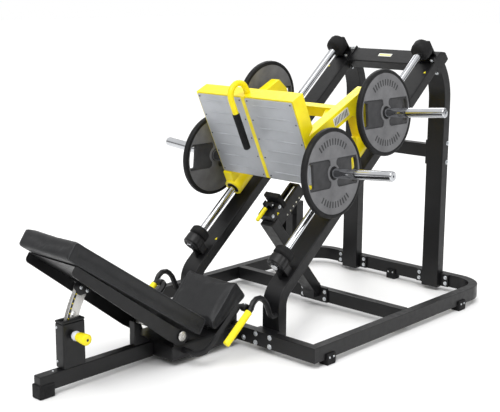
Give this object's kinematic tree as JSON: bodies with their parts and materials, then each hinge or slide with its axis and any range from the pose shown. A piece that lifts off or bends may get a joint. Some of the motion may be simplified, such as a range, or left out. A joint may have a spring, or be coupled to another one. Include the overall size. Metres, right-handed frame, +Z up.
{
  "type": "leg press machine",
  "caption": "Plate-loaded leg press: inclined guide frame, sliding foot carriage with loading horns and weight plates, adjustable stop, seat and reclining backrest.",
  "frame": {"origin": "on the floor at the middle plane, half way along the machine's length", "axes": "+X across the width, towards the side with the backrest's pull pin; +Y from the user's head end to the tall rear frame; +Z up"},
  "size_m": [1.5612, 2.661, 1.471],
  "materials": {
    "black_paint": "satin black powder coat",
    "yellow_paint": "satin yellow powder coat",
    "chrome": "hard chrome, ground",
    "stainless": "brushed",
    "aluminium": "matt anodised, ribbed",
    "black_rubber": "matt",
    "plate_rubber": "moulded, satin",
    "black_vinyl": "fine-grained vinyl upholstery",
    "black_plastic": "moulded",
    "grey_plastic": "polished",
    "yellow_plastic": "moulded, slightly glossy"
  },
  "bodies": {
    "frame": {"base_frame": "black_paint", "mid_cross_beam": "black_paint", "foot_front_right": "black_rubber", "foot_front_left": "black_rubber", "foot_rear_right": "black_rubber", "foot_rear_left": "black_rubber", "foot_rear_middle": "black_rubber", "main_tube_right": "black_paint", "main_tube_left": "black_paint", "rear_post_right": "black_paint", "rear_post_left": "black_paint", "top_cross_beam": "black_paint", "rear_cross_brace": "black_paint", "guide_rod_right": "chrome", "guide_rod_left": "chrome", "rod_block_right": "black_paint", "rod_block_left": "black_paint", "lower_bumper_right": "black_rubber", "lower_bumper_left": "black_rubber", "upper_bumper_right": "black_rubber", "upper_bumper_left": "black_rubber", "stop_frame": "black_paint", "stop_guide_rod": "chrome", "centre_beam": "black_paint", "front_boot": "black_rubber", "seat_base": "black_paint", "seat_support": "black_paint", "seat_pad": "black_vinyl", "rest_bracket": "black_paint", "backrest_post": "black_paint", "post_cap": "black_plastic", "pivot_shaft": "stainless", "side_bar_right": "black_paint", "side_bar_left": "black_paint", "hook_bar_right": "black_paint", "hook_bar_left": "black_paint", "hand_grip_right": "yellow_plastic", "hand_grip_left": "yellow_plastic"},
    "stop_slider": {"stop_block": "black_paint", "stop_bumper": "black_rubber"},
    "stop_release": {"stop_lever": "yellow_plastic"},
    "carriage": {"carriage_frame": "yellow_paint", "foot_panel_right": "aluminium", "foot_panel_left": "aluminium", "carriage_handle": "yellow_paint", "carriage_handle_grip": "black_rubber", "horn_low_right": "chrome", "horn_low_left": "chrome", "horn_high_right": "chrome", "horn_high_left": "chrome"},
    "plate_low_right_body": {"plate_low_right": "plate_rubber"},
    "plate_low_left_body": {"plate_low_left": "plate_rubber"},
    "plate_high_right_body": {"plate_high_right": "plate_rubber"},
    "plate_high_left_body": {"plate_high_left": "plate_rubber"},
    "backrest": {"backrest_pad": "black_vinyl", "backrest_shell": "black_paint", "recline_arc": "stainless"},
    "pull_pin": {"lock_pin": "stainless", "pin_collar": "grey_plastic", "pin_knob": "yellow_plastic"}
  },
  "joints": [
    {"name": "stop_slide", "type": "slide", "parent": "frame", "child": "stop_slider", "axis": [0, 0.7672, 0.6414], "range_m": [0, 0.12]},
    {"name": "stop_lever_hinge", "type": "hinge", "parent": "stop_slider", "child": "stop_release", "pos_m": [0, 0.15146, 0.63518], "axis": [-1, 0, 0], "range_deg": [0, 20]},
    {"name": "carriage_slide", "type": "slide", "parent": "stop_slider", "child": "carriage", "axis": [0, 0.7672, 0.6414], "range_m": [0, 0.46]},
    {"name": "plate_low_right_lift_off", "type": "slide", "parent": "carriage", "child": "plate_low_right_body", "axis": [0.9965, 0, 0.0837], "range_m": [0, 0.4]},
    {"name": "plate_low_left_lift_off", "type": "slide", "parent": "carriage", "child": "plate_low_left_body", "axis": [-0.9965, 0, 0.0837], "range_m": [0, 0.4]},
    {"name": "plate_high_right_lift_off", "type": "slide", "parent": "carriage", "child": "plate_high_right_body", "axis": [0.9965, 0, 0.0837], "range_m": [0, 0.4]},
    {"name": "plate_high_left_lift_off", "type": "slide", "parent": "carriage", "child": "plate_high_left_body", "axis": [-0.9965, 0, 0.0837], "range_m": [0, 0.4]},
    {"name": "backrest_recline", "type": "hinge", "parent": "frame", "child": "backrest", "pos_m": [0, -0.6325, 0.152], "axis": [1, 0, 0], "range_deg": [0, 9.5]},
    {"name": "pin_pull", "type": "slide", "parent": "frame", "child": "pull_pin", "axis": [1, 0, 0], "range_m": [0, 0.02]}
  ]
}
